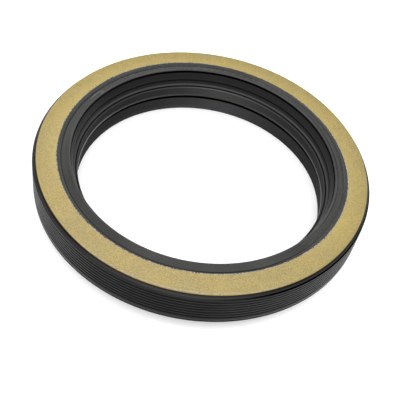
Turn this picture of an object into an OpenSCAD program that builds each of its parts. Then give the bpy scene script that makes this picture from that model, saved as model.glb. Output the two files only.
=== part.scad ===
// Axle oil seal: a rubber-covered ring that presses into a hub bore and
// wipes a turning shaft. It lies flat, bore upright, with its steel face up.
// The origin is the centre of the bottom face, and Z is the seal's axis.

/* [Overall size] */
// Outside diameter over the crests of the ribbed cover, the housing bore size
outside_d = 160; // [159:0.5:170]
// Inside diameter of the relaxed sealing lip, for a shaft about 1 mm larger
lip_d = 119; // [114:0.5:120.5]
// Height from the surface it lies on to the bare steel face
total_h = 24.5; // [24:0.5:30]

/* [Steel case] */
// Thickness of the pressed steel sheet
sheet_t = 1.5; // [1:0.1:1.6]
// Radius of the bent edge around the bare face
corner_r = 1; // [0.6:0.1:1.4]
// Radial width of the bare steel face, from the rubber to the outside
face_w = 9.55; // [8:0.05:10.2]

/* [Ribbed cover] */
// Number of grooves around the outside wall
groove_count = 7; // [3:1:7]
// Distance from one groove to the next
groove_pitch = 1.8; // [1.2:0.1:1.8]
// Depth of each groove
groove_depth = 0.35; // [0.1:0.05:0.5]
// Thickness of rubber over the steel wall, at the crests
cover_t = 1.6; // [1.2:0.1:1.6]

/* [Sealing lip] */
// Height of the sealing band that touches the shaft
lip_band_h = 4.8; // [3:0.1:5.2]
// Coil diameter of the garter spring behind the lip
spring_d = 2.4; // [2:0.1:2.5]

/* [Retaining ring] */
// Thickness of the ring's wall
ring_t = 1.5; // [1:0.1:1.8]
// Height of the ring's inner collar
collar_h = 8; // [5:0.5:8.5]
// Height of the ring's outer wall, pressed inside the cover
ring_wall_h = 14; // [10:0.5:15]

/* [Hidden] */
$fn = 180;

ro = outside_d / 2;            // crest of the ribs
rl = lip_d / 2;                // sealing band
rs = ro - cover_t;             // outside of the steel wall
rf = rs - face_w;              // inner edge of the bare face
ht = total_h;
rring = rs - sheet_t - 1.4;    // outside of the retaining ring
rc = rl + 0.65;                // inside of the retaining ring's collar
zfold = ht - 1.1;              // the case's inner flange, set down under the rubber
zlip = ht - 15;                // underside of the lip
zband = ht - 14.2;             // lower end of the sealing band
ztop = zband + lip_band_h;     // upper end of the sealing band
// centre of the garter spring
spring_r = rl + 3.2;
spring_z = ht - 12.3;

// n + 1 points along an arc, in the half section's (r, z) plane
function arc(c, r, a0, a1, n) =
    [for (i = [0:n]) let (a = a0 + (a1 - a0) * i / n) [c[0] + r * cos(a), c[1] + r * sin(a)]];

// One groove of the cover, from its upper edge to its lower edge
function groove(z) = [
    [ro, z + 0.55], [ro - 0.12, z + 0.42],
    [ro - groove_depth, z + 0.14], [ro - groove_depth, z - 0.14],
    [ro - 0.12, z - 0.42], [ro, z - 0.55]];

// Pressed case: flat bare face, bent edge, straight wall and set-down inner flange
case_pts = concat(
    [[rf - 2.95, zfold], [rf - 0.3, zfold], [rf, zfold + 0.25], [rf, ht]],
    arc([rs - corner_r, ht - corner_r], corner_r, 90, 0, 6),
    [[rs, 7], [rs - sheet_t, 7], [rs - sheet_t, ht - sheet_t - 0.6],
     [rs - sheet_t - 0.6, ht - sheet_t],
     [rf + 1.3, ht - sheet_t], [rf + 0.55, zfold - sheet_t + 0.2],
     [rf + 0.2, zfold - sheet_t], [rf - 2.95, zfold - sheet_t]]);

// Outside of the rubber: thin edge against the case, chamfered shoulder, grooves,
// lead-in with a fine parting groove, and bottom chamfer
cover_pts = concat(
    [[rs, ht - corner_r], [rs + 0.08, ht - corner_r - 0.06], [rs + 0.16, ht - 1.68],
     [rs + 0.3, ht - 1.82], [rs + 0.8, ht - 1.88], [ro - 0.12, ht - 2.45], [ro, ht - 2.6]],
    [for (i = [0:groove_count - 1]) each groove(ht - 3.9 - groove_pitch * i)],
    [[ro, 8.4], [ro - 0.12, 7.2], [ro - 0.35, 7], [ro - 0.35, 6.8], [ro - 0.12, 6.6],
     [ro - 0.14, 6.1], [ro - 0.3, 5.7], [ro - 0.7, 5.25], [rring + 0.05, 1.5], [rring, 1.5]]);

// Inside of the rubber: lining of the case's wall and flange
lining_pts = [
    [rring, ht - sheet_t - 2.2], [rring - 0.5, ht - sheet_t - 1.3],
    [rring - 1.3, ht - sheet_t - 0.8],
    [rf + 1.6, ht - sheet_t - 0.8], [rf + 0.8, zfold - sheet_t - 0.55],
    [rf + 0.4, zfold - sheet_t - 0.8],
    [rl + 5.8, zfold - sheet_t - 0.8], [rl + 5.1, zfold - sheet_t - 1.4]];

// Back of the lip, from its root down to the spring's seat
back_pts = concat(
    [[rl + 5.1, ht - 7.2], [rl + 4.7, ht - 8], [rl + 3.9, ht - 8.8],
     [rl + 3.6, ht - 9.6], [rl + 3.7, ht - 10.5]],
    arc([spring_r, spring_z], spring_d / 2 + 0.05, 78, 228, 9),
    [[rl + 1.9, zlip + 0.75], [rl + 1.45, zlip + 0.1], [rl + 1.25, zlip]]);

// Bore side: slanted tip, sealing band with its chamfer, undercut groove, slanted ledge,
// wall with its narrow groove, and the deep groove under the dust lip
bore_pts = [
    [rl + 0.75, zlip], [rl + 0.45, zlip + 0.1], [rl + 0.1, zband - 0.15], [rl, zband], [rl, ztop],
    [rl + 0.42, ztop + 0.48], [rl + 0.54, ztop + 0.5], [rl + 0.64, ztop],
    [rl + 1.24, ztop], [rl + 1.05, ztop + 0.9], [rl + 1.1, ztop + 1.05],
    [rl + 1.8, ztop + 1.65], [rl + 1.88, ztop + 1.85],
    [rl + 1.88, ht - 6], [rl + 2.6, ht - 5.85], [rl + 2.6, ht - 5.4], [rl + 1.95, ht - 5.2],
    [rl + 3.1, ht - 1.55], [rl + 4.1, ht - 2.4], [rl + 4.8, ht - 2.3], [rl + 5, ht - 1.6],
    [rl + 4.7, ht - 1], [rl + 3.5, ht - 0.6], [rl + 3.33, ht - 0.42], [rl + 3.5, ht - 0.15],
    [rl + 3.95, ht - 0.08]];

// Top of the rubber with its fine parting groove, up to the bare face, and around
// the set-down flange
top_pts = [
    [rf - 2.1, ht - 0.06], [rf - 2.02, ht - 0.2], [rf - 1.88, ht - 0.2], [rf - 1.8, ht - 0.1],
    [rf - 0.5, ht], [rf - 0.32, ht - 0.1], [rf - 0.1, ht - 0.1], [rf, ht],
    [rf, zfold + 0.25], [rf - 0.3, zfold], [rf - 2.95, zfold],
    [rf - 2.95, zfold - sheet_t], [rf + 0.2, zfold - sheet_t],
    [rf + 0.55, zfold - sheet_t + 0.2], [rf + 1.3, ht - sheet_t],
    [rs - sheet_t - 0.6, ht - sheet_t], [rs - sheet_t, ht - sheet_t - 0.6],
    [rs - sheet_t, 7], [rs, 7]];

// Retaining ring: bent strip with a low collar round the bore and a tall outer wall
ring_pts = concat(
    arc([rc + 0.8, 0.8], 0.8, 180, 270, 5),
    arc([rring - 1.5, 1.5], 1.5, 270, 360, 6),
    [[rring, ring_wall_h - 0.4], [rring - 0.4, ring_wall_h], [rring - ring_t, ring_wall_h],
     [rring - ring_t, ring_t + 0.6], [rring - ring_t - 0.6, ring_t],
     [rc + ring_t + 0.6, ring_t], [rc + ring_t, ring_t + 0.6]],
    arc([rc + ring_t / 2, collar_h - ring_t / 2], ring_t / 2, 0, 180, 8));

module outer_case() {
    color("#b8a468") rotate_extrude() polygon(case_pts);
}

// The rubber is moulded round the case in one piece: cover, lining and lip
module seal_body() {
    color("#2a2b2c") rotate_extrude()
        polygon(concat(cover_pts, lining_pts, back_pts, bore_pts, top_pts));
}

// Garter spring: a closed ring of fine coils, drawn as its outer shape
module garter_spring() {
    color("#8f9296") rotate_extrude()
        translate([spring_r, spring_z]) circle(d = spring_d, $fn = 32);
}

module retaining_ring() {
    color("#333435") rotate_extrude() polygon(ring_pts);
}

outer_case();
seal_body();
garter_spring();
retaining_ring();
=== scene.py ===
import bpy
import math
import random
import numpy as np
from mathutils import Matrix, Vector


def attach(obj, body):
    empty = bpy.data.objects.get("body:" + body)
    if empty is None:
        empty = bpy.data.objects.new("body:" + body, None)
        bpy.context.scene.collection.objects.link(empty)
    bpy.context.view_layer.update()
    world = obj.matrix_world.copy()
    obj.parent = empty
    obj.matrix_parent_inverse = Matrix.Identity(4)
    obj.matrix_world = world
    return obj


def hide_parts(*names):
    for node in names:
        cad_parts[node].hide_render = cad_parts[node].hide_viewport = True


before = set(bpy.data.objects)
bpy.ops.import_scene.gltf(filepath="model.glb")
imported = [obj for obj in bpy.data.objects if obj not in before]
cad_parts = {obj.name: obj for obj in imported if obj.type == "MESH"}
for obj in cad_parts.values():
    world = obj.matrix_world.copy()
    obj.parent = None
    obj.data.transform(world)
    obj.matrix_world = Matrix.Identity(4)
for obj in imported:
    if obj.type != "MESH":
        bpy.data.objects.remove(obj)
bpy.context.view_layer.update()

MM = 0.001
SIDES = 288          # divisions around each ring
FINE = SIDES * 5     # divisions where the rubber meets the bare face
rng = random.Random(41)
# the parting groove on the flat top: mean radius, how far it is off centre and which way
GROOVE_R, GROOVE_OFF, GROOVE_DIR = 66.58, 1.14, 262
# the rubber's torn edge on the bare face: mean radius, then (waves round the ring, mm, phase)
EDGE_R = 68.76
EDGE_WAVES = ((1, 0.172, -2.87), (2, 0.147, 0.83), (3, 0.219, 0.76), (4, 0.033, -0.23), (5, 0.038, 1.11))


# ---------------------------------------------------------------- sections
def rounded(corners, step=14.0):
    """Open chain of (r, z, radius) corners turned into points, with an arc at each corner."""
    out = []
    n = len(corners)
    for i, (x, y, rad) in enumerate(corners):
        if rad <= 0 or i in (0, n - 1):
            out.append((x, y))
            continue
        p = Vector((x, y))
        a = Vector(corners[i - 1][:2]) - p
        b = Vector(corners[i + 1][:2]) - p
        la, lb = a.length, b.length
        a.normalize()
        b.normalize()
        turn = math.acos(max(-1.0, min(1.0, a.dot(b))))
        if turn > math.radians(178):
            out.append((x, y))
            continue
        cut = min(rad / math.tan(turn / 2), la * 0.49, lb * 0.49)
        rad = cut * math.tan(turn / 2)
        mid = (a + b).normalized()
        c = p + mid * (rad / math.sin(turn / 2))
        pa, pb = p + a * cut - c, p + b * cut - c
        a0 = math.atan2(pa.y, pa.x)
        sweep = math.atan2(pb.y, pb.x) - a0
        while sweep > math.pi:
            sweep -= 2 * math.pi
        while sweep < -math.pi:
            sweep += 2 * math.pi
        k = max(2 if abs(sweep) > 0.5 else 1, int(math.ceil(abs(math.degrees(sweep)) / step)))
        for j in range(k + 1):
            t = a0 + sweep * j / k
            out.append((c.x + rad * math.cos(t), c.y + rad * math.sin(t)))
    return out


def turned(name, rings, mat, fine_edit=None):
    """Closed solid of revolution. rings holds (r, z, divisions) in order around the section,
    in mm, and neighbouring rings may differ in divisions by a whole factor."""
    verts, starts = [], []
    for i, (r, z, n) in enumerate(rings):
        starts.append(len(verts))
        for k in range(n):
            t = 2 * math.pi * k / n
            rr, zz = r, z
            if fine_edit is not None:
                rr, zz = fine_edit(i, r, z, n, k)
            verts.append((rr * MM * math.cos(t), rr * MM * math.sin(t), zz * MM))
    faces = []
    m = len(rings)
    for i in range(m):
        j = (i + 1) % m
        a, b = starts[i], starts[j]
        na, nb = rings[i][2], rings[j][2]
        if na == nb:
            for k in range(na):
                q = (k + 1) % na
                faces.append((a + k, a + q, b + q, b + k))
        elif na < nb:
            f = nb // na
            for k in range(na):
                q = (k + 1) % na
                h = f // 2
                for s in range(f):
                    u, v = k * f + s, (k * f + s + 1) % nb
                    faces.append((a + (k if s <= h else q), b + v, b + u))
                    if s == h:
                        faces.append((a + k, a + q, b + v))
        else:
            f = na // nb
            for k in range(nb):
                q = (k + 1) % nb
                h = f // 2
                for s in range(f):
                    u, v = k * f + s, (k * f + s + 1) % na
                    faces.append((a + u, a + v, b + (k if s <= h else q)))
                    if s == h:
                        faces.append((b + q, b + k, a + v))
    area = 0.0
    for i in range(m):
        x0, y0 = rings[i][:2]
        x1, y1 = rings[(i + 1) % m][:2]
        area += x0 * y1 - x1 * y0
    if area < 0:
        faces = [tuple(reversed(f)) for f in faces]
    me = bpy.data.meshes.new(name)
    me.from_pydata(verts, [], faces)
    me.validate()
    me.update()
    ob = bpy.data.objects.new(name, me)
    bpy.context.scene.collection.objects.link(ob)
    me.materials.append(mat)
    me.shade_smooth()
    me.set_sharp_from_angle(angle=math.radians(34))
    return ob


def with_n(points, n=SIDES):
    return [(r, z, n) for r, z in points]


# --------------------------------------------------------------- materials
class Nodes:
    """Short way to write a node tree."""

    def __init__(self, mat):
        mat.use_nodes = True
        self.nt = mat.node_tree
        self.out = self.nt.nodes["Material Output"]
        self.bsdf = self.nt.nodes["Principled BSDF"]

    def add(self, kind, **props):
        n = self.nt.nodes.new(kind)
        for k, v in props.items():
            setattr(n, k, v)
        return n

    def link(self, a, b):
        self.nt.links.new(a, b)

    def math(self, op, a, b=None, c=None, clamp=False):
        n = self.add("ShaderNodeMath", operation=op)
        n.use_clamp = clamp
        for i, v in enumerate((a, b, c)):
            if v is None:
                continue
            if isinstance(v, (int, float)):
                n.inputs[i].default_value = v
            else:
                self.link(v, n.inputs[i])
        return n.outputs[0]

    def ramp(self, fac, stops, mode="LINEAR"):
        n = self.add("ShaderNodeValToRGB")
        n.color_ramp.interpolation = mode
        el = n.color_ramp.elements
        while len(el) > 1:
            el.remove(el[-1])
        el[0].position = stops[0][0]
        el[0].color = tuple(stops[0][1]) + (1,) if len(stops[0][1]) == 3 else stops[0][1]
        for p, c in stops[1:]:
            e = el.new(p)
            e.color = tuple(c) + (1,)
        self.link(fac, n.inputs[0])
        return n.outputs[0]

    def band(self, value, lo, hi, soft):
        """1 between lo and hi, falling to 0 over soft."""
        up = self.add("ShaderNodeMapRange", interpolation_type="SMOOTHSTEP")
        self.link(value, up.inputs[0])
        up.inputs[1].default_value = lo - soft
        up.inputs[2].default_value = lo
        down = self.add("ShaderNodeMapRange", interpolation_type="SMOOTHSTEP")
        self.link(value, down.inputs[0])
        down.inputs[1].default_value = hi
        down.inputs[2].default_value = hi + soft
        down.inputs[3].default_value = 1.0
        down.inputs[4].default_value = 0.0
        return self.math("MULTIPLY", up.outputs[0], down.outputs[0])

    def noise(self, vec, scale, detail=2.0, rough=0.5, w=None):
        n = self.add("ShaderNodeTexNoise")
        n.noise_dimensions = "4D" if w is not None else "3D"
        n.inputs["Scale"].default_value = scale
        n.inputs["Detail"].default_value = detail
        n.inputs["Roughness"].default_value = rough
        self.link(vec, n.inputs["Vector"])
        if w is not None:
            self.link(w, n.inputs["W"])
        return n.outputs["Fac"]

    def mix(self, fac, a, b, blend="MIX"):
        n = self.add("ShaderNodeMix", data_type="RGBA", blend_type=blend)
        for sock, v in ((n.inputs[0], fac), (n.inputs[6], a), (n.inputs[7], b)):
            if isinstance(v, (int, float)):
                sock.default_value = v
            elif isinstance(v, tuple):
                sock.default_value = v + (1,) if len(v) == 3 else v
            else:
                self.link(v, sock)
        return n.outputs[2]

    def blend(self, mask, a, b):
        """The number a, going over to b where mask is 1."""
        n = self.add("ShaderNodeMix", data_type="FLOAT")
        for sock, v in ((n.inputs[0], mask), (n.inputs[2], a), (n.inputs[3], b)):
            if isinstance(v, (int, float)):
                sock.default_value = v
            else:
                self.link(v, sock)
        return n.outputs[0]

    def levels(self, value, lo, hi, stops):
        """A number that depends on value, given as (value, number) stops between lo and hi."""
        q = self.add("ShaderNodeMapRange")
        self.link(value, q.inputs[0])
        q.inputs[1].default_value = lo
        q.inputs[2].default_value = hi
        return self.ramp(q.outputs[0], [((v - lo) / (hi - lo), (g, g, g)) for v, g in stops])

    def facing(self, cx, cy, deg):
        """Cosine of the angle round the ring between here and the given direction."""
        a = math.radians(deg)
        return self.math("ADD", self.math("MULTIPLY", cx, math.cos(a)), self.math("MULTIPLY", cy, math.sin(a)))

    def edge_offset(self, rmm, cx, cy):
        """Distance in mm outward from the rubber's torn edge, which wanders round the ring."""
        a = self.math("ARCTAN2", cy, cx)
        total = self.math("SUBTRACT", rmm, EDGE_R)
        for k, amp, phase in EDGE_WAVES:
            wave = self.math("COSINE", self.math("MULTIPLY_ADD", a, float(k), phase))
            total = self.math("SUBTRACT", total, self.math("MULTIPLY", wave, amp))
        return total

    def bump(self, height, strength, dist, normal=None):
        n = self.add("ShaderNodeBump")
        n.inputs["Strength"].default_value = strength
        n.inputs["Distance"].default_value = dist
        self.link(height, n.inputs["Height"])
        if normal is not None:
            self.link(normal, n.inputs["Normal"])
        return n.outputs[0]

    def place(self):
        """Object coordinates, radius and height in mm, and the direction round the ring."""
        tc = self.add("ShaderNodeTexCoord").outputs["Object"]
        sep = self.add("ShaderNodeSeparateXYZ")
        self.link(tc, sep.inputs[0])
        x, y, z = sep.outputs
        r = self.math("SQRT", self.math("ADD", self.math("MULTIPLY", x, x), self.math("MULTIPLY", y, y)))
        rmm = self.math("MULTIPLY", r, 1000.0)
        zmm = self.math("MULTIPLY", z, 1000.0)
        cx = self.math("DIVIDE", x, r)
        cy = self.math("DIVIDE", y, r)
        return tc, rmm, zmm, cx, cy

    def along(self, rmm, cx, cy, turn, across):
        """Coordinates that run long round the ring and short across it."""
        c = self.add("ShaderNodeCombineXYZ")
        self.link(self.math("MULTIPLY", cx, turn), c.inputs[0])
        self.link(self.math("MULTIPLY", cy, turn), c.inputs[1])
        self.link(self.math("MULTIPLY", rmm, across), c.inputs[2])
        return c.outputs[0]


def coated_steel():
    m = bpy.data.materials.new("coated_steel")
    t = Nodes(m)
    tc, rmm, zmm, cx, cy = t.place()
    base = t.ramp(t.noise(tc, 260.0, 3.0, 0.6),
                  [(0.30, (0.309, 0.243, 0.094)), (0.52, (0.322, 0.255, 0.098)), (0.74, (0.335, 0.266, 0.105))])
    grain = t.ramp(t.noise(tc, 1500.0, 3.0, 0.7), [(0.32, (0.87, 0.87, 0.86)), (0.68, (1.13, 1.13, 1.14))])
    fine_grain = t.ramp(t.noise(tc, 3400.0, 2.0, 0.7), [(0.32, (0.68, 0.68, 0.67)), (0.68, (1.32, 1.32, 1.33))])
    mottle = t.ramp(t.noise(tc, 110.0, 2.0, 0.55), [(0.36, (0.965, 0.975, 1.02)), (0.5, (1, 1, 1)), (0.64, (1.035, 1.02, 0.97))])
    across = t.levels(rmm, 68.0, 79.0, [(68.5, 1.0), (70.5, 0.98), (73.5, 0.91), (77.2, 0.84), (78.5, 0.84)])
    col = t.mix(1.0, base, grain, "MULTIPLY")
    col = t.mix(1.0, col, fine_grain, "MULTIPLY")
    col = t.mix(1.0, col, mottle, "MULTIPLY")
    col = t.mix(1.0, col, across, "MULTIPLY")
    # painted light: the face is painted lighter towards the front-left, where the nearby light falls
    side = t.math("ADD", t.math("MULTIPLY", cx, -0.04), t.math("MULTIPLY", cy, -0.07))
    col = t.mix(1.0, col, t.math("ADD", side, 1.0), "MULTIPLY")
    # darker towards the front on the inner part of the face
    front_inner_darker = t.math("MULTIPLY", t.levels(t.facing(cx, cy, 266), -1.0, 1.0, [(0.30, 0.0), (0.80, 1.0)]),
                    t.levels(rmm, 68.0, 79.0, [(68.5, 0.15), (71.0, 0.13), (73.5, 0.07), (76.0, 0.0)]))
    col = t.mix(1.0, col, t.math("SUBTRACT", 1.0, front_inner_darker), "MULTIPLY")
    cooler = t.levels(t.facing(cx, cy, 250), -1.0, 1.0, [(0.0, 0.0), (1.0, 1.0)])
    col = t.mix(cooler, col, t.mix(1.0, col, (1.015, 1.02, 1.19), "MULTIPLY"))
    # the cut and bent edge is browner where the coating is thin
    outer = t.band(rmm, 77.9, 79.0, 0.3)
    front = t.levels(t.facing(cx, cy, 268), -1.0, 1.0, [(0.84, 0.0), (0.98, 1.0)])
    left = t.levels(t.facing(cx, cy, 206), -1.0, 1.0, [(0.82, 0.0), (0.94, 1.0)])
    depth = t.math("ADD", zmm, t.math("SUBTRACT", t.math("MULTIPLY", front, 0.30), t.math("MULTIPLY", left, 0.30)))
    edge = t.math("MULTIPLY", t.band(depth, 20.0, 23.86, 0.10), outer)
    col = t.mix(edge, col, (0.11, 0.068, 0.026))
    low = t.math("MULTIPLY", t.band(depth, 20.0, 23.62, 0.16), outer)
    col = t.mix(low, col, (0.018, 0.015, 0.012))
    # painted highlight: pale specks along the front of the rim, where the bend catches the light
    glint_specks = t.ramp(t.noise(tc, 1500.0, 2.0, 0.6), [(0.44, (0, 0, 0)), (0.54, (1, 1, 1))])
    rim = t.math("MULTIPLY", t.band(rmm, 77.85, 78.3, 0.1), t.band(zmm, 24.08, 24.42, 0.06))
    wide = t.levels(t.facing(cx, cy, 268), -1.0, 1.0, [(0.70, 0.0), (0.95, 0.6)])
    col = t.mix(t.math("MULTIPLY", t.math("MULTIPLY", rim, glint_specks), wide), col, (0.40, 0.345, 0.25))
    t.link(col, t.bsdf.inputs["Base Color"])
    # burnished in spots along the bend
    spots = t.ramp(t.noise(tc, 1900.0, 2.0, 0.6), [(0.40, (0, 0, 0)), (0.58, (1, 1, 1))])
    bend = t.math("MULTIPLY", t.math("MULTIPLY", t.band(rmm, 77.75, 78.35, 0.25), t.band(zmm, 24.06, 24.6, 0.05)), spots)
    rough = t.math("ADD", t.math("MULTIPLY", t.noise(tc, 900.0, 2.0, 0.6), 0.12), 0.5)
    t.link(t.blend(bend, rough, 0.28), t.bsdf.inputs["Roughness"])
    t.link(t.blend(t.math("MULTIPLY", bend, wide), 0.04, 0.5), t.bsdf.inputs["Specular IOR Level"])
    h = t.noise(tc, 2600.0, 3.0, 0.7)
    t.link(t.bump(h, 0.4, 0.00003), t.bsdf.inputs["Normal"])
    return m


# inner radius, outer radius, direction in degrees, cosine where it fades out, change of shine
PATCHES = ((64.9, 66.0, 148, 0.70, 0.10), (67.3, 68.6, 45, 0.80, 0.08), (66.3, 67.2, 150, 0.75, -0.05),
           (63.6, 64.4, 155, 0.70, 0.09), (64.0, 66.8, 280, 0.80, 0.05), (67.6, 68.6, 205, 0.90, 0.04), (67.6, 68.6, 240, 0.96, 0.06), (63.6, 64.6, 198, 0.96, -0.07),
           (64.0, 67.3, 312, 0.985, -0.09), (67.6, 68.6, 290, 0.85, 0.06), (67.3, 68.4, 100, 0.90, -0.06), (67.6, 68.6, 335, 0.85, 0.05), (67.6, 68.6, 245, 0.75, 0.08))
# thin dark and pale lines round it: radius, direction, cosine where it fades out, change of shine
LINES = ((66.10, 112, 0.60, -0.30), (66.25, 20, 0.75, -0.08), (63.95, 5, 0.80, -0.18), (68.15, 20, 0.60, -0.08), (67.00, 45, 0.70, -0.13),
         (67.05, 110, 0.75, -0.14), (65.45, 100, 0.70, 0.08), (64.45, 60, 0.55, -0.11), (67.55, 110, 0.70, 0.06))
# pale smudges left on it: direction, radius, half width in degrees and in mm, tone
SMUDGES = ((133, 65.6, 0.9, 0.35, 0.035), (155.5, 65.3, 2.6, 0.30, 0.050), (152, 64.2, 0.8, 0.9, 0.030), (99, 64.8, 3.0, 0.30, 0.016),
           (103, 64.0, 1.2, 0.3, 0.018), (71, 65.4, 1.0, 0.8, 0.012))


def seal_rubber():
    m = bpy.data.materials.new("seal_rubber")
    t = Nodes(m)
    tc, rmm, zmm, cx, cy = t.place()
    streak = t.noise(t.along(rmm, cx, cy, 1.0, 0.26), 5.0, 3.0, 0.6, w=t.math("MULTIPLY", zmm, 0.5))
    fine_streak = t.noise(t.along(rmm, cx, cy, 7.0, 0.6), 5.0, 3.0, 0.65, w=t.math("MULTIPLY", zmm, 0.9))
    speck = t.noise(tc, 1800.0, 2.0, 0.6)
    top = t.band(zmm, 24.2, 24.8, 0.15)
    bore = t.band(rmm, 50.0, 62.66, 0.03)
    pocket = t.math("MULTIPLY", t.band(rmm, 62.68, 66.0, 0.03), t.band(zmm, 20.0, 23.84, 0.04))
    bead = t.math("MULTIPLY", t.band(rmm, 78.5, 79.42, 0.06), t.band(zmm, 22.4, 23.6, 0.1))
    strip = t.math("MULTIPLY", t.band(rmm, 79.45, 80.0, 0.04), t.band(zmm, 21.88, 22.52, 0.05))
    # how much light the surface scatters, by height: painted highlight on the two ridges, painted shade in the
    # grooves and undercuts
    shade = t.levels(zmm, 9.0, 25.0, [
        (9.3, 0.010), (9.9, 0.010), (10.0, 0.005), (11.08, 0.004), (11.2, 0.024), (15.1, 0.024), (15.2, 0.040), (15.58, 0.038),
        (15.66, 0.008), (16.06, 0.008), (16.14, 0.046), (16.7, 0.046), (16.8, 0.018), (18.42, 0.017), (18.5, 0.009),
        (19.38, 0.009), (19.46, 0.010), (22.9, 0.0085), (22.98, 0.003), (24.2, 0.003)])
    # painted shade: the groove between the two ridges is painted dark
    inner_groove = t.math("MULTIPLY", t.band(rmm, 60.06, 60.8, 0.02), t.band(zmm, 15.0, 16.06, 0.04))
    shade = t.blend(inner_groove, shade, 0.008)
    # painted light: the lower bore wall is painted paler at the back, facing the front lamps
    back_wall_painted_light = t.levels(t.facing(cx, cy, 88), -1.0, 1.0,
                      [(0.3, 0.85), (0.5, 0.78), (0.65, 0.76), (0.85, 0.90), (0.94, 1.15), (0.985, 1.55), (1.0, 1.8)])
    back_wall_painted_light = t.blend(t.math("MULTIPLY", bore, t.band(zmm, 11.1, 15.64, 0.04)), 1.0, back_wall_painted_light)
    # painted light: the upper bore wall is painted paler on the left
    left_wall = t.math("MULTIPLY", t.band(zmm, 16.9, 23.2, 0.1), t.levels(t.facing(cx, cy, 172), -1.0, 1.0, [(0.93, 0.0), (0.985, 0.6)]))
    shade = t.math("MULTIPLY", shade, t.math("ADD", 1.0, left_wall))
    albedo = t.blend(bore, 0.0016, t.math("MULTIPLY", shade, back_wall_painted_light))
    albedo = t.blend(top, albedo, t.blend(streak, 0.001, 0.005))
    # painted shade: the pocket under the dust lip is painted near-black, darkest at the back
    mouth = t.levels(t.facing(cx, cy, 90), -1.0, 1.0, [(0.50, 0.016), (0.90, 0.002)])
    albedo = t.blend(pocket, albedo, mouth)
    # painted light: the bead is painted paler towards the front
    bead_painted_light = t.levels(t.facing(cx, cy, 266), -1.0, 1.0, [(0.0, 0.019), (0.85, 0.014), (1.0, 0.034)])
    albedo = t.blend(bead, albedo, bead_painted_light)
    albedo = t.blend(strip, albedo, 0.013)
    # painted shade: a near-black line on the shoulder, on one side only; below, the crease beside the steel
    strip_painted_shade = t.math("MULTIPLY", strip, t.levels(t.facing(cx, cy, 325), -1.0, 1.0, [(0.70, 0.0), (0.90, 1.0)]))
    crease = t.math("MULTIPLY", t.band(rmm, 78.2, 78.72, 0.06), t.band(zmm, 22.6, 23.7, 0.08))
    albedo = t.blend(strip_painted_shade, albedo, 0.0002)
    # painted light: the crease is painted lighter towards the front
    crease_tone = t.levels(t.facing(cx, cy, 268), -1.0, 1.0, [(0.80, 0.006), (0.97, 0.022)])
    albedo = t.blend(crease, albedo, crease_tone)
    albedo = t.math("MULTIPLY", albedo, t.math("ADD", 0.75, t.math("MULTIPLY", speck, 0.5)))
    tint = t.ramp(streak, [(0.3, (0.98, 1.0, 1.02)), (0.7, (1.02, 1.0, 0.96))])
    col = t.mix(1.0, tint, albedo, "MULTIPLY")
    grit = t.ramp(t.noise(tc, 900.0, 2.0, 0.6), [(0.52, (0, 0, 0)), (0.66, (1, 1, 1))])
    grit = t.math("MULTIPLY", t.math("MULTIPLY", grit, top), t.band(rmm, 63.9, 66.0, 0.4))
    grit = t.math("MULTIPLY", grit, t.levels(t.facing(cx, cy, 95), -1.0, 1.0, [(0.75, 0.0), (0.95, 0.045)]))
    col = t.mix(grit, col, (0.80, 0.68, 0.52), "ADD")
    for deg, r0, wide, tall, tone in SMUDGES:
        near = t.levels(t.facing(cx, cy, deg), 0.99, 1.0,
                        [(max(0.99, math.cos(math.radians(1.5 * wide))), 0.0), (math.cos(math.radians(0.5 * wide)), 1.0)])
        near = t.math("MULTIPLY", t.math("MULTIPLY", near, top), t.band(rmm, r0 - 0.5 * tall, r0 + 0.5 * tall, tall))
        near = t.math("MULTIPLY", near, t.math("ADD", 0.4, speck))
        col = t.mix(t.math("MULTIPLY", near, tone), col, (1.0, 0.96, 0.90), "ADD")
    # torn edge against the bare face, bluish on one side, with pale specks
    away = t.edge_offset(rmm, cx, cy)
    blue = t.math("MULTIPLY", t.band(away, -0.65, 0.4, 0.2), t.band(zmm, 24.4, 24.8, 0.05))
    blue = t.math("MULTIPLY", blue, t.levels(t.facing(cx, cy, 118), -1.0, 1.0, [(0.78, 0.0), (0.92, 1.0)]))
    col = t.mix(blue, col, (0.004, 0.007, 0.015), "ADD")
    tongue = t.math("MULTIPLY", t.band(away, -0.14, 0.5, 0.06), t.band(zmm, 24.49, 24.8, 0.015))
    frayed = t.levels(t.facing(cx, cy, 322), -1.0, 1.0, [(0.30, 0.0), (0.75, 0.05)])
    bits = t.ramp(t.math("ADD", t.noise(tc, 3400.0, 1.0, 0.5), frayed), [(0.52, (0, 0, 0)), (0.60, (1, 1, 1))])
    bits = t.math("MULTIPLY", tongue, bits)
    col = t.mix(t.math("MULTIPLY", bits, 0.7), col, (0.50, 0.49, 0.50))
    t.link(col, t.bsdf.inputs["Base Color"])
    gloss = t.levels(zmm, 9.0, 25.0, [
        (9.9, 0.05), (10.0, 0.50), (11.05, 0.50), (11.2, 0.012), (15.1, 0.012), (15.2, 0.11), (16.75, 0.10), (16.85, 0.035),
        (18.42, 0.035), (18.5, 0.02), (19.38, 0.02), (19.46, 0.125), (22.9, 0.125), (22.98, 0.0)])
    sheen = t.levels(zmm, 5.0, 24.0, [(5.6, 0.115), (6.9, 0.16), (8.0, 0.15), (8.6, 0.095), (9.6, 0.100), (15.0, 0.108), (19.0, 0.108), (20.4, 0.096), (21.5, 0.088)])
    ribbed = t.band(zmm, 10.4, 25.0, 1.4)
    right_side = t.levels(t.facing(cx, cy, 316), -1.0, 1.0, [(0.80, 0.97), (0.95, 1.22), (1.0, 1.28)])
    left_side = t.levels(t.facing(cx, cy, 221), -1.0, 1.0, [(0.92, 1.0), (0.985, 1.26), (1.0, 1.26)])
    lead_in = t.levels(t.facing(cx, cy, 272), -1.0, 1.0, [(0.62, 0.98), (0.78, 1.0), (0.94, 0.92), (1.0, 0.88)])
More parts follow.
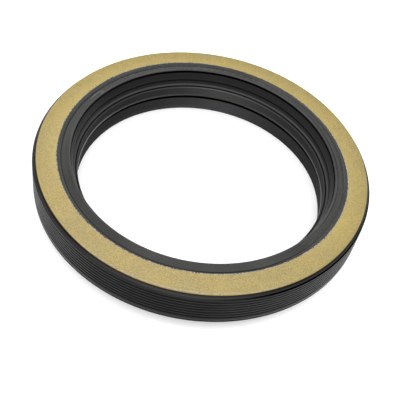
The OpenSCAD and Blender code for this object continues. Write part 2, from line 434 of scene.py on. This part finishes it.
    lead_in = t.math("MULTIPLY", lead_in, t.levels(t.facing(cx, cy, 326), -1.0, 1.0, [(0.88, 1.0), (0.97, 0.80), (1.0, 0.78)]))
    lead_in = t.math("MULTIPLY", lead_in, t.levels(t.facing(cx, cy, 218), -1.0, 1.0, [(0.90, 1.0), (0.98, 0.93)]))
    chamfer = t.math("MULTIPLY", t.band(zmm, 4.0, 6.45, 0.25), t.levels(t.facing(cx, cy, 272), -1.0, 1.0, [(0.88, 0.0), (0.99, 0.30)]))
    lead_in = t.math("MULTIPLY", lead_in, t.math("SUBTRACT", 1.0, chamfer))
    sheen = t.math("MULTIPLY", sheen, t.blend(ribbed, lead_in, t.math("MULTIPLY", right_side, left_side)))
    dusty = t.blend(t.ramp(t.noise(tc, 75.0, 2.0, 0.5), [(0.35, (0, 0, 0)), (0.65, (1, 1, 1))]), 0.91, 1.09)
    sheen = t.math("MULTIPLY", sheen, dusty)
    # the lip's wet edge catches the light on the left
    wet = t.levels(t.facing(cx, cy, 168), -1.0, 1.0, [(0.93, 1.0), (0.985, 2.0)])
    gloss = t.math("MULTIPLY", gloss, t.blend(t.band(zmm, 9.9, 11.1, 0.1), 1.0, wet))
    level = t.blend(bore, sheen, gloss)
    # brush lines round the flat top, and its rubbed inner edge
    rings_noise = t.noise(t.along(rmm, cx, cy, 0.4, 0.5), 5.0, 3.0, 0.55)
    brushed = t.blend(t.ramp(rings_noise, [(0.36, (0, 0, 0)), (0.64, (1, 1, 1))]), 0.27, 0.49)
    brushed = t.math("ADD", brushed, t.math("MULTIPLY", t.math("SUBTRACT", fine_streak, 0.5), 0.46))
    # on one side it is wiped smooth up to an off-centre parting groove
    swirl = t.noise(t.along(rmm, cx, cy, 0.7, 0.02), 5.0, 2.0, 0.5)
    wiped = t.blend(t.ramp(swirl, [(0.3, (0, 0, 0)), (0.7, (1, 1, 1))]), 0.33, 0.44)
    smooth = t.levels(t.facing(cx, cy, 233), -1.0, 1.0, [(0.10, 0.0), (0.28, 1.0)])
    off = t.math("SUBTRACT", t.math("SUBTRACT", rmm, GROOVE_R), t.math("MULTIPLY", t.facing(cx, cy, GROOVE_DIR), GROOVE_OFF))
    lines = t.blend(t.math("MULTIPLY", smooth, t.band(off, -9.0, -0.1, 0.15)), brushed, wiped)
    lines = t.math("ADD", lines, t.math("MULTIPLY", t.band(rmm, 62.6, 63.5, 0.3), 0.11))
    # patches where the top is wiped shinier or duller
    for r0, r1, deg, cut, amount in PATCHES:
        there = t.levels(t.facing(cx, cy, deg), -1.0, 1.0, [(cut, 0.0), (0.5 * (1.0 + cut), 0.8), (1.0, 1.0)])
        lines = t.math("ADD", lines, t.math("MULTIPLY", t.math("MULTIPLY", there, t.band(rmm, r0, r1, 0.35)), amount))
    for r0, deg, cut, amount in LINES:
        there = t.levels(t.facing(cx, cy, deg), -1.0, 1.0, [(cut, 0.0), (0.5 * (1.0 + cut), 0.8), (1.0, 1.0)])
        lines = t.math("ADD", lines, t.math("MULTIPLY", t.math("MULTIPLY", there, t.band(rmm, r0 - 0.1, r0 + 0.1, 0.2)), amount))
    lines = t.math("MULTIPLY", lines, t.math("ADD", 0.6, t.math("MULTIPLY", speck, 0.8)))
    seam = t.math("MULTIPLY", t.band(off, -0.10, 0.10, 0.12), t.blend(smooth, 0.2, 0.55))
    lines = t.math("MULTIPLY", lines, t.math("SUBTRACT", 1.0, seam))
    level = t.blend(top, level, lines)
    # painted shade: no shine in the pocket under the dust lip, nor on the dark shoulder line
    level = t.blend(pocket, level, 0.0)
    level = t.blend(strip_painted_shade, level, 0.0)
    level = t.blend(crease, level, 0.05)
    t.link(level, t.bsdf.inputs["Specular IOR Level"])
    t.bsdf.inputs["Specular Tint"].default_value = (1.0, 0.992, 0.965, 1.0)
    rough = t.math("ADD", t.math("MULTIPLY", streak, 0.14), 0.25)
    rough = t.blend(bore, rough, 0.56)
    rough = t.blend(t.math("MULTIPLY", bore, t.band(zmm, 9.9, 11.1, 0.05)), rough, 0.42)
    rough = t.blend(top, rough, t.math("ADD", t.math("MULTIPLY", streak, 0.16), 0.41))
    rough = t.blend(bead, rough, 0.42)
    rough = t.blend(strip_painted_shade, rough, 0.55)
    t.link(rough, t.bsdf.inputs["Roughness"])
    calm = t.blend(t.math("MAXIMUM", top, bore), 0.25, 1.0)
    b1 = t.bump(t.math("MULTIPLY", speck, calm), 0.35, 0.00003)
    b2 = t.bump(t.math("MULTIPLY", fine_streak, calm), 0.5, 0.00006, b1)
    t.link(b2, t.bsdf.inputs["Normal"])
    return m


def spring_steel():
    m = bpy.data.materials.new("spring_steel")
    t = Nodes(m)
    tc, rmm, zmm, cx, cy = t.place()
    n = t.noise(tc, 1200.0, 2.0, 0.5)
    t.link(t.ramp(n, [(0.3, (0.36, 0.37, 0.38)), (0.7, (0.52, 0.53, 0.54))]), t.bsdf.inputs["Base Color"])
    t.link(t.math("ADD", t.math("MULTIPLY", n, 0.15), 0.22), t.bsdf.inputs["Roughness"])
    t.bsdf.inputs["Metallic"].default_value = 1.0
    return m


def black_coated_steel():
    m = bpy.data.materials.new("black_coated_steel")
    t = Nodes(m)
    tc, rmm, zmm, cx, cy = t.place()
    n = t.noise(tc, 700.0, 3.0, 0.6)
    streak = t.noise(t.along(rmm, cx, cy, 3.0, 1.0), 4.0, 2.0, 0.5, w=zmm)
    col = t.ramp(n, [(0.3, (0.0270, 0.0272, 0.0283)), (0.7, (0.0297, 0.0299, 0.0309))])
    # painted light: the collar is painted paler at the back, facing the front lamps
    back_wall_painted_light = t.levels(t.facing(cx, cy, 88), -1.0, 1.0,
                      [(0.3, 0.75), (0.5, 0.68), (0.65, 0.72), (0.85, 0.83), (0.94, 1.05), (0.985, 1.3), (1.0, 1.5)])
    col = t.mix(1.0, col, back_wall_painted_light, "MULTIPLY")
    # painted light: the foot of the collar is painted paler on the back-left side
    foot = t.math("MULTIPLY", t.band(zmm, -1.0, 1.8, 1.4), t.levels(t.facing(cx, cy, 133), -1.0, 1.0, [(0.75, 0.0), (0.95, 0.45)]))
    col = t.mix(1.0, col, t.math("ADD", 1.0, foot), "MULTIPLY")
    # painted shade: the collar's rim is painted near-black where it lies in the shade under the lip
    rim = t.math("MULTIPLY", t.band(rmm, 50.0, 62.5, 0.1), t.band(zmm, 7.85, 9.0, 0.08))
    t.link(t.mix(rim, col, (0.002, 0.002, 0.002)), t.bsdf.inputs["Base Color"])
    t.link(t.math("ADD", t.math("MULTIPLY", streak, 0.16), 0.48), t.bsdf.inputs["Roughness"])
    t.bsdf.inputs["Specular IOR Level"].default_value = 0.01
    t.link(t.bump(n, 0.12, 0.00003, t.bump(streak, 0.15, 0.00004)), t.bsdf.inputs["Normal"])
    return m


gold = coated_steel()
rubber = seal_rubber()
wire_steel = spring_steel()
black_steel = black_coated_steel()

# ------------------------------------------------------------- outer case
case = rounded([
    (65.60, 23.40, 0), (67.90, 23.40, 0.15), (68.15, 23.65, 0.12), (68.15, 24.50, 0.14),
    (69.2, 24.50, 0), (72.0, 24.505, 0), (75.0, 24.505, 0), (76.8, 24.50, 0),
    (78.40, 24.50, 1.00), (78.40, 7.00, 0.3), (76.90, 7.00, 0.3), (76.90, 23.00, 0.9),
    (69.85, 23.00, 0.5), (69.10, 22.10, 0.4), (68.75, 21.90, 0.3), (65.60, 21.90, 0)], step=9.0)
case_ob = turned("outer_case_pressing", with_n(case, 360), gold)
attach(case_ob, "root")
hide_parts("outer_case")

# -------------------------------------------------------------- seal body
GROOVES = [20.6 - 1.81 * i for i in range(7)]
cover = rounded([(78.40, 23.16, 0), (78.47, 23.16, 0.03), (78.60, 22.78, 0.12), (79.22, 22.66, 0.18), (79.98, 22.04, 0.14),
                 (80.0, 21.60, 0.2), (80.0, 21.26, 0)], step=20.0)
for zc in GROOVES:
    for j in range(9):
        dz = 0.62 - 1.24 * j / 8
        depth = (0.5 + 0.5 * math.cos(math.pi * dz / 0.62)) ** 0.85
        cover.append((80.0 - 0.29 * depth, zc + dz))
cover += rounded([(80.0, 9.08, 0), (80.0, 8.00, 0.3), (79.90, 7.08, 0.08), (79.66, 6.93, 0.05), (79.66, 6.75, 0.05),
                  (79.88, 6.60, 0.08), (79.86, 5.96, 0.16), (79.30, 5.18, 0.2),
                  (75.62, 1.52, 0.1), (75.50, 1.50, 0)], step=24.0)
lining = rounded([(75.50, 20.80, 0), (75.0, 21.7, 0.4), (74.2, 22.2, 0.4), (70.15, 22.2, 0.4), (69.35, 21.35, 0.4),
                  (68.95, 21.1, 0.3), (65.3, 21.1, 0.3), (64.6, 20.5, 0)], step=30.0)
back = rounded([(64.6, 17.3, 0), (64.2, 16.5, 0.5), (63.4, 15.7, 0.5), (63.1, 14.9, 0.5), (63.2, 14.0, 0.2),
                (62.96, 13.42, 0)], step=24.0)
seat = [(62.7 + 1.25 * math.cos(math.radians(a)), 12.2 + 1.25 * math.sin(math.radians(a)))
        for a in range(78, 229, 15)]
under = [(61.40, 10.25), (60.95, 9.60), (60.75, 9.50)]
bore = rounded([
    (60.75, 9.50, 0), (60.20, 9.50, 0.15), (59.42, 10.02, 0.15), (59.28, 10.28, 0.08), (59.50, 11.17, 0.12), (59.50, 13.2, 0),
    (59.47, 15.12, 0.08), (59.94, 15.60, 0.06), (60.04, 15.62, 0.04), (60.16, 15.12, 0.06), (60.76, 15.12, 0.06),
    (60.53, 16.08, 0.05), (61.30, 16.74, 0.08), (61.38, 16.95, 0.1), (61.38, 18.50, 0.06),
    (62.1, 18.66, 0.08), (62.1, 19.24, 0.08), (61.42, 19.38, 0.06),
    (61.9, 20.8, 0), (62.60, 22.98, 0.08), (63.6, 22.1, 0.1), (64.3, 22.2, 0.2), (64.5, 22.9, 0.2), (64.1, 23.5, 0.2),
    (63.0, 23.88, 0.06), (62.76, 24.02, 0.07), (62.92, 24.36, 0.16), (63.8, 24.42, 0), (64.6, 24.43, 0)], step=24.0)
hidden = lining + back + seat + under
coarse_a = cover + hidden + bore[1:]
fine = rounded([(64.9, 24.44, 0), (66.55, 24.44, 0), (66.73, 24.44, 0), (66.75, 24.41, 0), (66.82, 24.20, 0.05), (67.00, 24.20, 0.05), (67.08, 24.40, 0),
                (67.5, 24.43, 0), (67.85, 24.475, 0), (68.06, 24.515, 0), (68.28, 24.525, 0), (68.42, 24.52, 0)], step=50.0)
nf0 = len(coarse_a)
edge_rings = [(68.52, 24.525), (68.62, 24.53), (68.70, 24.495), (68.60, 24.46)]
coarse_b = [(68.15, 24.30), (68.15, 23.65), (67.90, 23.40), (65.60, 23.40), (65.60, 21.90), (68.75, 21.90),
            (69.10, 22.10), (69.85, 23.00), (76.30, 23.00), (76.90, 22.40), (76.90, 7.00), (78.40, 7.00)]
rings = (with_n(cover) + with_n(hidden, SIDES // 2) + with_n(bore[1:]) + with_n(fine, FINE)
         + with_n(edge_rings, FINE) + with_n(coarse_b, SIDES // 2))
n_fine0, n_edge0 = nf0, nf0 + len(fine)


def loop_noise(n, cells, seed):
    """Smooth periodic noise of n samples made from `cells` random values."""
    r = random.Random(seed)
    vals = np.array([r.uniform(-1, 1) for _ in range(cells)])
    x = np.arange(n) * cells / n
    i = np.floor(x).astype(int)
    f = x - i
    f = f * f * (3 - 2 * f)
    return vals[i % cells] * (1 - f) + vals[(i + 1) % cells] * f


ang = 2 * np.pi * np.arange(FINE) / FINE
# the rubber's edge wanders a little over the bare face
groove = GROOVE_R - 66.91 + GROOVE_OFF * np.cos(ang - math.radians(GROOVE_DIR))
shallow = 0.5 - 0.5 * np.tanh(4.0 * (np.cos(ang - math.radians(233)) - 0.15))
wander = np.full(FINE, EDGE_R - 68.65)
for waves, amp, phase in EDGE_WAVES:
    wander += amp * np.cos(waves * ang + phase)
tear = 0.05 * loop_noise(FINE, 90, 3) + 0.08 * loop_noise(FINE, 360, 5) + 0.20 * loop_noise(FINE, 720, 7)
lift = 0.02 * loop_noise(FINE, 480, 11)
rough_a = loop_noise(FINE, 240, 13)
rough_b = loop_noise(FINE, 720, 17)


def torn(i, r, z, n, k):
    if n != FINE:
        return r, z
    e = i - n_edge0
    if e >= 0:
        s = (0.5, 1.0, 1.0, 0.0)[e]
        return r + wander[k] + s * max(-0.06, tear[k] + 0.06) - (0.06 if e == 3 else 0.0), z + (lift[k] if e < 2 else 0.0)
    if 66.0 < r < 68.0:
        if z < 24.38:
            z += (24.40 - z) * 0.7 * shallow[k]
        r += groove[k] * min(1.0, max(0.0, 1.0 - (r - 66.91)))
    if r > 68.0:
        r += wander[k] * (r - 68.0) / 0.52
    if r > 67.2:
        return r, z + 0.018 * rough_a[k] * (1 if r < 68 else 0.6) + 0.015 * rough_b[(k * 3 + i * 97) % n]
    return r, z


body_ob = turned("seal_body_moulding", rings, rubber, torn)
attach(body_ob, "root")
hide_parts("seal_body")

# ---------------------------------------------------------- retaining ring
ring = rounded([(60.15, 4.0, 0), (60.15, 0.0, 0.8), (75.50, 0.0, 1.5), (75.50, 14.0, 0.4), (74.0, 14.0, 0.3),
                (74.0, 1.5, 0.6), (61.65, 1.5, 0.6), (61.65, 8.0, 0.5), (60.15, 8.0, 0.16)], step=10.0)
ring_ob = turned("retaining_ring_pressing", with_n(ring, 360), black_steel)
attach(ring_ob, "root")
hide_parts("retaining_ring")


# ----------------------------------------------------------- garter spring
def coil(name, big_r, z0, coil_r, wire_r, turns, per_turn, sides, mat):
    n = turns * per_turn
    verts, faces = [], []
    for i in range(n):
        t = 2 * math.pi * i / n
        a = 2 * math.pi * i / per_turn
        rad = Vector((math.cos(t), math.sin(t), 0))
        tan = Vector((-math.sin(t), math.cos(t), 0))
        out = rad * math.cos(a) + Vector((0, 0, math.sin(a)))
        c = rad * big_r + Vector((0, 0, z0)) + out * coil_r
        # direction of the wire
        d = (rad * -math.sin(a) + Vector((0, 0, math.cos(a)))) * (coil_r * 2 * math.pi / per_turn) + tan * (big_r * 2 * math.pi / n)
        d.normalize()
        side = d.cross(out).normalized()
        for s in range(sides):
            b = 2 * math.pi * s / sides
            p = c + (out * math.cos(b) + side * math.sin(b)) * wire_r
            verts.append(tuple(p * MM))
    for i in range(n):
        j = (i + 1) % n
        for s in range(sides):
            q = (s + 1) % sides
            faces.append((i * sides + s, i * sides + q, j * sides + q, j * sides + s))
    me = bpy.data.meshes.new(name)
    me.from_pydata(verts, [], faces)
    me.update()
    ob = bpy.data.objects.new(name, me)
    bpy.context.scene.collection.objects.link(ob)
    me.materials.append(mat)
    me.shade_smooth()
    return ob


spring_ob = coil("garter_spring_coils", 62.7, 12.2, 0.90, 0.30, 620, 12, 6, wire_steel)
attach(spring_ob, "root")
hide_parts("garter_spring")

# -------------------------------------------------------------------- floor
fm = bpy.data.materials.new("floor_white")
ft = Nodes(fm)
ftc = ft.add("ShaderNodeTexCoord").outputs["Object"]
fcol = ft.ramp(ft.noise(ftc, 40.0, 2.0, 0.5), [(0.3, (0.90, 0.90, 0.90)), (0.7, (0.92, 0.92, 0.92))])
ft.link(fcol, ft.bsdf.inputs["Base Color"])
ft.bsdf.inputs["Roughness"].default_value = 0.9
ft.bsdf.inputs["Specular IOR Level"].default_value = 0.1
ft.bsdf.inputs["Emission Color"].default_value = (1, 1, 1, 1)
ft.bsdf.inputs["Emission Strength"].default_value = 0.198
fme = bpy.data.meshes.new("floor")
half, cells = 3.0, 12
fv = [(-half + 2 * half * i / cells, -half + 2 * half * j / cells, 0.0) for j in range(cells + 1) for i in range(cells + 1)]
ff = [(j * (cells + 1) + i, j * (cells + 1) + i + 1, (j + 1) * (cells + 1) + i + 1, (j + 1) * (cells + 1) + i)
      for j in range(cells) for i in range(cells)]
fme.from_pydata(fv, [], ff)
fme.update()
fme.materials.append(fm)
floor = bpy.data.objects.new("floor", fme)
bpy.context.scene.collection.objects.link(floor)

# ------------------------------------------------------------------- camera
el, roll = math.radians(44.5992), math.radians(11.197)
focal, dist = 740.0, 4.4721 * 78.4
tx, ty = 5.0374, -43.6512
back_v = Vector((0, -math.cos(el), math.sin(el)))
fwd = -back_v
right = Vector((1, 0, 0))
up = right.cross(fwd)
r2 = right * math.cos(roll) + up * math.sin(roll)
u2 = up * math.cos(roll) - right * math.sin(roll)
n = Vector((tx, ty, focal)).normalized()
ax = Vector((0, 0, 1)).cross(n)
rot = Matrix.Rotation(math.asin(ax.length), 3, ax.normalized())
rows = rot @ Matrix((r2, -u2, fwd))
cam_data = bpy.data.cameras.new("camera")
cam_data.sensor_fit = "HORIZONTAL"
cam_data.sensor_width = 36.0
cam_data.lens = focal / 400.0 * 36.0
cam_data.clip_start = 0.01
cam_data.clip_end = 20.0
cam = bpy.data.objects.new("camera", cam_data)
bpy.context.scene.collection.objects.link(cam)
X, Y, Z = Vector(rows[0]), -Vector(rows[1]), -Vector(rows[2])
loc = back_v * dist * MM + Vector((0, 0, 23.9 * MM))
cam.matrix_world = Matrix(((X.x, Y.x, Z.x, loc.x), (X.y, Y.y, Z.y, loc.y), (X.z, Y.z, Z.z, loc.z), (0, 0, 0, 1)))
bpy.context.scene.camera = cam

# -------------------------------------------------------------------- light
world = bpy.data.worlds.new("studio")
bpy.context.scene.world = world
world.use_nodes = True
wt = world.node_tree
wt.nodes.clear()
w_out = wt.nodes.new("ShaderNodeOutputWorld")
w_bg = wt.nodes.new("ShaderNodeBackground")
wt.links.new(w_bg.outputs[0], w_out.inputs[0])
w_tc = wt.nodes.new("ShaderNodeTexCoord")


def w_math(op, a, b=None):
    q = wt.nodes.new("ShaderNodeMath")
    q.operation = op
    for i, v in enumerate((a, b)):
        if v is None:
            continue
        if isinstance(v, (int, float)):
            q.inputs[i].default_value = v
        else:
            wt.links.new(v, q.inputs[i])
    return q.outputs[0]


# soft boxes around the ring: azimuth (0 = front, 90 = right, 180 = back), elevation, half width, strength
BOXES = [
    (150, 8, 12, 0.01),
    (210, 8, 12, 0.50),
    (270, 8, 12, 1.58),
    (0, 30, 14, 3.31),
    (30, 30, 14, 1.96),
    (90, 30, 14, 0.06),
    (120, 30, 14, 1.07),
    (150, 30, 14, 3.06),
    (180, 30, 14, 1.02),
    (210, 30, 14, 2.47),
    (240, 30, 14, 1.73),
    (270, 30, 14, 1.99),
    (300, 30, 14, 2.12),
    (330, 30, 14, 2.16),
    (0, 52, 14, 3.26),
    (45, 52, 14, 1.48),
    (90, 52, 14, 3.54),
    (135, 52, 14, 2.49),
    (180, 52, 14, 3.69),
    (225, 52, 14, 1.47),
    (270, 52, 14, 1.74),
    (315, 52, 14, 1.29),
    (0, 72, 13, 1.32),
    (72, 72, 13, 0.80),
]
BASE = 0.161
total = None
for az, e, wid, s in BOXES:
    a, ee = math.radians(az), math.radians(e)
    d = Vector((math.sin(a) * math.cos(ee), -math.cos(a) * math.cos(ee), math.sin(ee)))
    dot = wt.nodes.new("ShaderNodeVectorMath")
    dot.operation = "DOT_PRODUCT"
    wt.links.new(w_tc.outputs["Generated"], dot.inputs[0])
    dot.inputs[1].default_value = d
    k = 1.0 / (1.0 - math.cos(math.radians(wid)))
    lobe = w_math("EXPONENT", w_math("MULTIPLY", w_math("SUBTRACT", dot.outputs["Value"], 1.0), k))
    term = w_math("MULTIPLY", lobe, s)
    total = term if total is None else w_math("ADD", total, term)
total = w_math("ADD", total, BASE)
wt.links.new(total, w_bg.inputs["Strength"])
w_bg.inputs["Color"].default_value = (1, 1, 1, 1)

vs = bpy.context.scene.view_settings
vs.view_transform = "Standard"
vs.look = "None"
vs.exposure = 0.0
vs.gamma = 1.0
